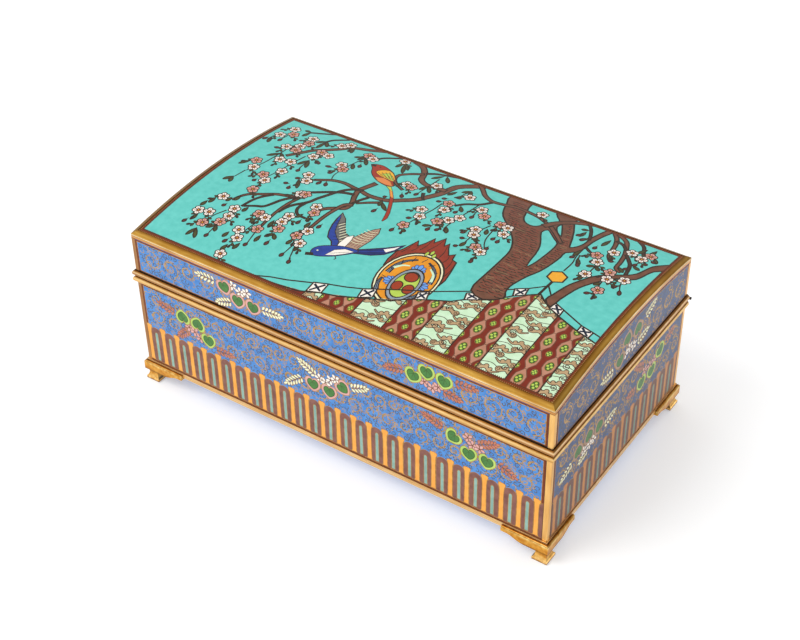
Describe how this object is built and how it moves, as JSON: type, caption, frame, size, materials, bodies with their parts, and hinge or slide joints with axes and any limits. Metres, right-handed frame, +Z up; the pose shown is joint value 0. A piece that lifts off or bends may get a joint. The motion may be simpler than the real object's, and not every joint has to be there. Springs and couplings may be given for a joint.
{
  "type": "cloisonne enamel box",
  "caption": "Rectangular cloisonne enamel box with an arched hinged lid, gilt metal rims, edge strips and bracket feet, hollow and empty inside.",
  "frame": {"origin": "middle of the whole footprint, on the surface that the feet stand on", "axes": "+X along the long side to the right seen from the front, +Y to the back where the hinge is, +Z up"},
  "size_m": [0.203, 0.115, 0.0828],
  "materials": {
    "enamel_blue": "polished cloisonne enamel, blue with fine brass wires",
    "enamel_turquoise": "polished cloisonne enamel, turquoise with fine wires",
    "gilt_metal": "gilt, brushed along its length, worn",
    "pin_dark": "dark"
  },
  "bodies": {
    "body": {"box_body": "enamel_blue", "body_rim": "gilt_metal", "body_base_band": "gilt_metal", "body_strip_back_right": "gilt_metal", "body_strip_back_left": "gilt_metal", "body_strip_front_left": "gilt_metal", "body_strip_front_right": "gilt_metal", "foot_back_right": "gilt_metal", "foot_back_left": "gilt_metal", "foot_front_left": "gilt_metal", "foot_front_right": "gilt_metal", "hinge_body_leaf": "gilt_metal", "hinge_pin": "pin_dark"},
    "lid": {"lid_shell": "enamel_turquoise", "lid_top_frame": "gilt_metal", "lid_rim": "gilt_metal", "lid_strip_back_right": "gilt_metal", "lid_strip_back_left": "gilt_metal", "lid_strip_front_left": "gilt_metal", "lid_strip_front_right": "gilt_metal", "hinge_lid_leaf": "gilt_metal"}
  },
  "joints": [
    {"name": "lid_hinge", "type": "hinge", "parent": "body", "child": "lid", "pos_m": [0, 0.056, 0.0558], "axis": [-1, 0, 0], "range_deg": [0, 95]}
  ]
}
